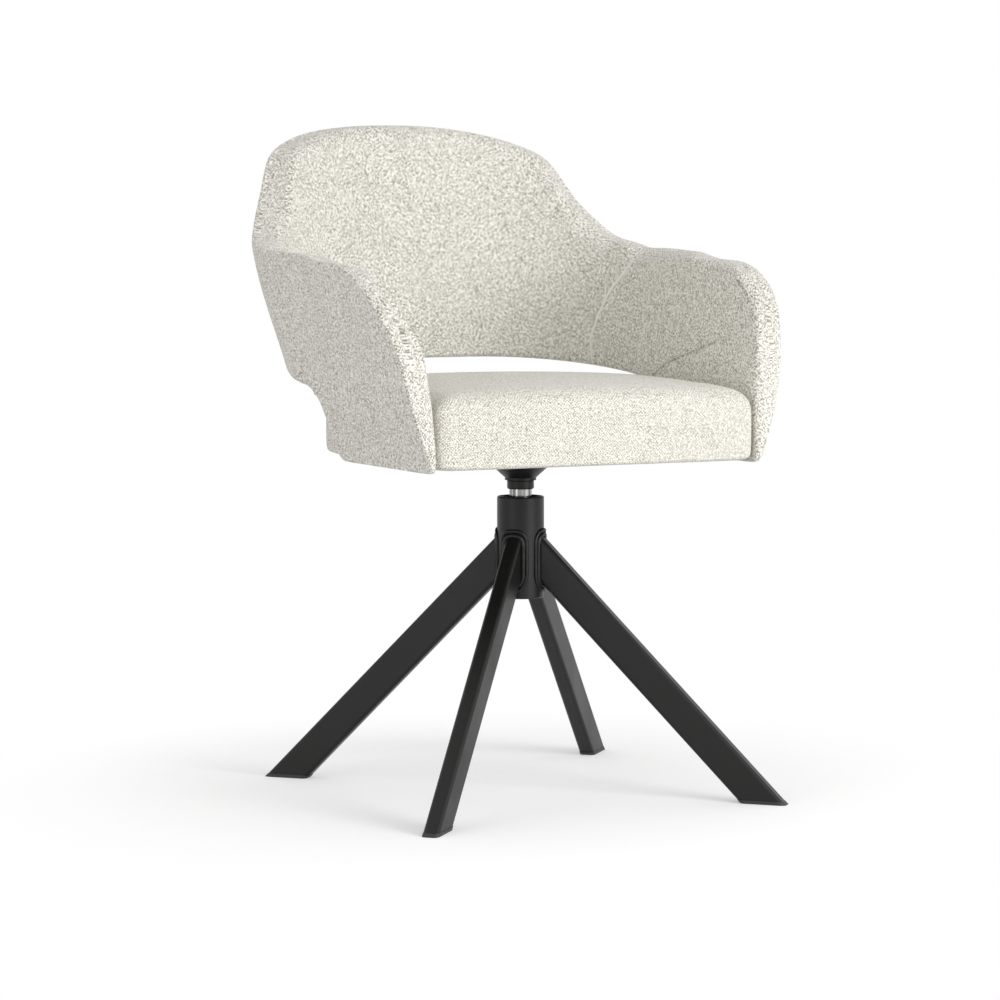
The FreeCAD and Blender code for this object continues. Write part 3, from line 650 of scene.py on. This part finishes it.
def padding_copy(names, name, grid):
    """One closed skin round the named solids, in even small faces."""
    shape = bmesh.new()
    for node in names:
        shape.from_mesh(nodes[node].data)
    bmesh.ops.remove_doubles(shape, verts=shape.verts, dist=1e-6)
    piece = finished(shape, name, upholstery)
    remesh = piece.modifiers.new("even", "REMESH")
    remesh.mode = "VOXEL"
    remesh.voxel_size = grid
    fix(piece)
    return piece


def fix(piece):
    """Turns the mesh with its modifiers into the mesh itself."""
    seen = piece.evaluated_get(bpy.context.evaluated_depsgraph_get())
    done = bpy.data.meshes.new_from_object(seen)
    piece.modifiers.clear()
    piece.data = done


def blown_up(piece, pressure, give):
    """Runs the cushion as cloth under pressure, and moves no point further than its own give."""
    before = [vert.co.copy() for vert in piece.data.vertices]
    cloth = piece.modifiers.new("blow", "CLOTH")
    cloth.settings.use_pressure = True
    cloth.settings.uniform_pressure_force = pressure
    cloth.settings.effector_weights.gravity = 0
    cloth.settings.quality = 4
    cloth.point_cache.frame_start, cloth.point_cache.frame_end = 1, BLOW_FRAMES
    for step in range(1, BLOW_FRAMES + 1):
        scene.frame_set(step)
    fix(piece)
    scene.frame_set(1)
    for vert, start in zip(piece.data.vertices, before):
        move = vert.co - start
        limit = give(start)
        if move.length > limit:
            vert.co = start + move.normalized() * limit


def outer_shell(piece):
    """Keeps the skin's largest connected shell, so no pocket inside it, and softens its corners."""
    shape = bmesh.new()
    shape.from_mesh(piece.data)
    left = set(shape.verts)
    shells = []
    while left:
        start = left.pop()
        shell, edge = {start}, [start]
        while edge:
            vert = edge.pop()
            for other in [link.other_vert(vert) for link in vert.link_edges]:
                if other in left:
                    left.discard(other)
                    shell.add(other)
                    edge.append(other)
        shells.append(shell)
    shells.sort(key=len)
    pockets = [vert for shell in shells[:-1] for vert in shell]
    bmesh.ops.delete(shape, geom=pockets, context="VERTS")
    for step in range(SOFTENING):
        bmesh.ops.smooth_vert(
            shape, verts=shape.verts, factor=0.5, use_axis_x=True, use_axis_y=True, use_axis_z=True,
        )
    shape.to_mesh(piece.data)
    shape.free()


def squared_corner(place):
    """The front corners fill out against the arms: the round drawn towards a square."""
    beside, ahead = abs(place.x) - CORNER_SIDE, -CORNER_FRONT - place.y
    if beside > 0 and ahead > 0:
        reach = math.hypot(beside, ahead)
        fuller = ((beside / reach) ** CORNER_POWER + (ahead / reach) ** CORNER_POWER) ** (-1 / CORNER_POWER)
        side = 1 if place.x > 0 else -1
        return Vector((side * (CORNER_SIDE + beside * fuller), -CORNER_FRONT - ahead * fuller, place.z))
    return place


def seat_give(place):
    """The padding gives most in the middle of its top and front, not against the arms."""
    if place.z < HEM_HEIGHT:
        return 0.0
    if abs(place.x) > GRIP_SIDE:
        return GIVE_GRIPPED if place.y > GRIP_FRONT else GIVE_CORNER
    return GIVE_TOP if place.z > TOP_HEIGHT else GIVE_FRONT


seat = padding_copy(["seat_foam", "seat_cover", "seat_board"], "seat_pad", SEAT_GRID)
outer_shell(seat)
wide = max(vert.co.x for vert in seat.data.vertices)
for vert in seat.data.vertices:
    vert.co = squared_corner(vert.co)
    vert.co.x *= SEAT_SIDE / wide
blown_up(seat, BLOW_PRESSURE, seat_give)
for polygon in seat.data.polygons:
    polygon.use_smooth = True
lie = seat.data.attributes.new("lie", "FLOAT_VECTOR", "POINT")
seams = seat.data.attributes.new("seams", "FLOAT_VECTOR", "POINT")
for vert in seat.data.vertices:
    lie.data[vert.index].vector = vert.co
    seams.data[vert.index].vector = (NO_SEAM * MM,) * 3
set_facing(seat, [vert.normal.copy() for vert in seat.data.vertices])
subdivided(seat, 1)
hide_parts("seat_foam", "seat_cover")
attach(seat, "seat")


# The lining under the seat: a sheet stretched over the board's edge and held by staples

STAPLE_PITCH = 0.030
STAPLE_SIZE = (0.010, 0.0012, 0.0007)
STAPLE_INSET = 0.005
STAPLE_DROP = 0.0003        # a staple's middle lies this far below the lining's edge
STAPLE_ROUND = 0.0002
SLACK = 0.0005              # how far the lining stands off between its staples
LINING_GRID = 0.008
LINING_CUTS = 26            # cuts on either side of the middle
LINING_THICK = 0.0005
NEAR = 1e-6                 # points this close are one point
FOLDS, RIPPLES = 12, 45     # waves to a metre, roughly: the wide sag and the small one


def lining_sheet():
    """The sheet's own outline, cut into small squares, then let sag a little between the staples."""
    shape = bmesh.new()
    shape.from_mesh(nodes["dust_cover"].data)
    bmesh.ops.remove_doubles(shape, verts=shape.verts, dist=NEAR)
    low = min(vert.co.z for vert in shape.verts)
    below = [vert for vert in shape.verts if vert.co.z < low + 10 * NEAR]
    bmesh.ops.delete(shape, geom=below, context="VERTS")
    area = sum(face.calc_area() for face in shape.faces)
    rim = [[vert.co.copy() for vert in edge.verts] for edge in shape.edges if edge.is_boundary]
    for step in range(-LINING_CUTS, LINING_CUTS + 1):
        for way in (Vector((1, 0, 0)), Vector((0, 1, 0))):
            bmesh.ops.bisect_plane(
                shape, geom=shape.verts[:] + shape.edges[:] + shape.faces[:], dist=NEAR,
                plane_co=way * step * LINING_GRID, plane_no=way,
            )
    for vert in shape.verts:
        if not vert.is_boundary:
            fold = noise.noise(Vector((vert.co.x * FOLDS, vert.co.y * FOLDS, 0)))
            ripple = noise.noise(Vector((vert.co.x * RIPPLES, vert.co.y * RIPPLES, 3)))
            vert.co.z -= SLACK * (0.5 + 0.6 * fold + 0.4 * ripple)
    smooth_faces(shape)
    return shape, area, rim


def staples(rim):
    """One crown wire every few centimetres along the lining's edge, a little inside it."""
    shape = bmesh.new()
    walked = 0.0
    for start, end in rim:
        way, length = (end - start).normalized(), (end - start).length
        while walked < length:
            spot = start + way * walked
            inward = Vector((-way.y, way.x, 0))
            if inward.dot(Vector((spot.x, spot.y, 0))) > 0:
                inward = -inward
            middle = spot + inward * STAPLE_INSET - Vector((0, 0, STAPLE_DROP))
            for vert in bmesh.ops.create_cube(shape, size=1)["verts"]:
                x, y, z = (a * b for a, b in zip(vert.co, STAPLE_SIZE))
                vert.co = middle + Vector((x * way.x - y * way.y, x * way.y + y * way.x, z))
            walked += STAPLE_PITCH
        walked -= length
    bmesh.ops.bevel(
        shape, geom=shape.edges[:], offset=STAPLE_ROUND, affect="EDGES",
        segments=1, profile=0.5, material=-1,
    )
    return shape


shape, lining_area, lining_rim = lining_sheet()
lining_piece = finished(shape, "lining_under_seat", lining)
thick = lining_piece.modifiers.new("thick", "SOLIDIFY")
thick.thickness = LINING_THICK
thick.offset = 1
staple_piece = finished(staples(lining_rim), "lining_staples", zinc)
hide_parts("dust_cover")
for piece, slot in ((lining_piece, "lining"), (staple_piece, "fastener")):
    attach(piece, "seat")


# Weld beads: two passes round the end of each leg, laid on the hub

HUB = 29.0                  # hub radius
JOIN_HEIGHT = 288.0         # where a leg's middle line meets the hub
FOOT_REACH = 311.0          # where it meets the floor, from the swivel axis
LEG_PITCH = math.atan2(JOIN_HEIGHT, FOOT_REACH - HUB)
LEG_HALVES = (10.0, 20.0)
TOP_CORNER, LOW_CORNER = 8.0, 5.0       # how round the leg's end is
CORNER_STEPS = 6
PASSES = [(1.8, 3.0), (5.8, 2.4)]       # how far beyond the leg, bead radius
BEAD_LIFT = 0.2
RIPPLE = 2.6                # from one ripple of a bead to the next
RIPPLE_SWELL = 0.07         # as parts of the radius
LUMP_SWELL = 0.12
LUMP_SCALE = 0.12


def bead_loop(beyond, lift):
    """The closed line round a leg's end, beyond its sides and lifted off the hub."""
    half_wide, half_deep = (half + beyond for half in LEG_HALVES)
    loop = []
    for x, y, start in ((1, 1, 0), (-1, 1, 90), (-1, -1, 180), (1, -1, 270)):
        corner = (TOP_CORNER if y > 0 else LOW_CORNER) + beyond
        for step in range(CORNER_STEPS + 1):
            turn = math.radians(start + 90 / CORNER_STEPS * step)
            across = x * (half_wide - corner) + corner * math.cos(turn)
            up = y * (half_deep - corner) + corner * math.sin(turn)
            loop.append((across, up))
    line = []
    for (a, b), (c, d) in zip(loop, loop[1:] + loop[:1]):
        count = max(1, round(math.hypot(c - a, d - b) / (RIPPLE / 2)))
        line += [(a + (c - a) * k / count, b + (d - b) * k / count) for k in range(count)]
    sine, cosine = math.sin(LEG_PITCH), math.cos(LEG_PITCH)
    points = []
    for across, up in line:
        out = math.sqrt((HUB + lift) ** 2 - across ** 2)
        run = (out - HUB - up * sine) / cosine
        points.append(Vector((out, across, JOIN_HEIGHT - run * sine + up * cosine)))
    return points


def weld_beads():
    curve = bpy.data.curves.new("weld_beads", "CURVE")
    curve.dimensions = "3D"
    curve.bevel_depth = MM
    curve.bevel_resolution = 3
    for leg in range(4):
        turn = math.radians(45 + 90 * leg)
        for beyond, radius in PASSES:
            points = bead_loop(beyond, BEAD_LIFT)
            line = curve.splines.new("POLY")
            line.points.add(len(points) - 1)
            line.use_cyclic_u = True
            for index, (spot, point) in enumerate(zip(points, line.points)):
                x = spot.x * math.cos(turn) - spot.y * math.sin(turn)
                y = spot.x * math.sin(turn) + spot.y * math.cos(turn)
                point.co = (x * MM, y * MM, spot.z * MM, 1)
                lump = noise.noise(Vector((x, y, spot.z)) * LUMP_SCALE)
                point.radius = radius * (1 + RIPPLE_SWELL * (-1) ** index + LUMP_SWELL * lump)
    holder = bpy.data.objects.new("weld_beads_line", curve)
    scene.collection.objects.link(holder)
    seen = holder.evaluated_get(bpy.context.evaluated_depsgraph_get())
    mesh = bpy.data.meshes.new_from_object(seen)
    bpy.data.objects.remove(holder)
    for polygon in mesh.polygons:
        polygon.use_smooth = True
    beads = bpy.data.objects.new("weld_beads", mesh)
    scene.collection.objects.link(beads)
    dress(beads, coat)
    return beads


beads = weld_beads()
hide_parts("leg_welds")
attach(beads, "base")


# Floor, light and surroundings

FLOOR_GLOW = 0.29           # lifts the floor near the chair to the tone of paper
FLOOR_FADE = (0.33, 0.72)   # it turns to plain white between these distances from the axis
WORLD_LIGHT = 0.66          # how strongly the surroundings light, while they are seen as plain white


def floor_material():
    """A plain pale floor: white to the camera where it is lit, and still shaded by the chair."""
    material, tree, shader = new_material("pale_floor")
    join(tree, shader, {"Base Color": linear("#e9e9e9"), "Roughness": 1.0, "Specular IOR Level": 0.0})
    glow, white = (
        add(tree, "Emission", {"Color": (1, 1, 1, 1), "Strength": strength}).outputs[0]
        for strength in (FLOOR_GLOW, 1.0)
    )
    near = add(tree, "AddShader", {0: shader.outputs[0], 1: glow}).outputs[0]
    reach = measured(tree, "LENGTH", object_place(tree))
    far = spread(tree, reach, FLOOR_FADE, interpolation_type="SMOOTHSTEP")
    both = add(tree, "MixShader", {0: far, 1: near, 2: white}).outputs[0]
    out = add(tree, "MixShader", {0: seen_ray(tree), 1: shader.outputs[0], 2: both}).outputs[0]
    join(tree, tree.nodes["Material Output"], {"Surface": out})
    return material


shape = bmesh.new()
bmesh.ops.create_grid(shape, x_segments=1, y_segments=1, size=30)
floor = finished(shape, "floor", floor_material())

world = bpy.data.worlds.new("studio")
scene.world = world
world.use_nodes = True
tree = world.node_tree
level = spread(tree, seen_ray(tree), (0.0, 1.0), (WORLD_LIGHT, 1.0))
join(tree, tree.nodes["Background"], {"Strength": level, "Color": (1, 1, 1, 1)})

BOX_SIZE = 1.6
BOX_AIM = (0, 0, 0.5)


def softbox(name, place, power):
    light = bpy.data.objects.new(name, bpy.data.lights.new(name, "AREA"))
    light.data.shape = "RECTANGLE"
    light.data.size = light.data.size_y = BOX_SIZE
    light.data.energy = power
    light.location = place
    light.rotation_euler = (Vector(BOX_AIM) - Vector(place)).to_track_quat("-Z", "Y").to_euler()
    scene.collection.objects.link(light)


softbox("key", (1.4, -2.9, 1.2), 66)
softbox("fill", (-2.9, -1.2, 0.9), 13)
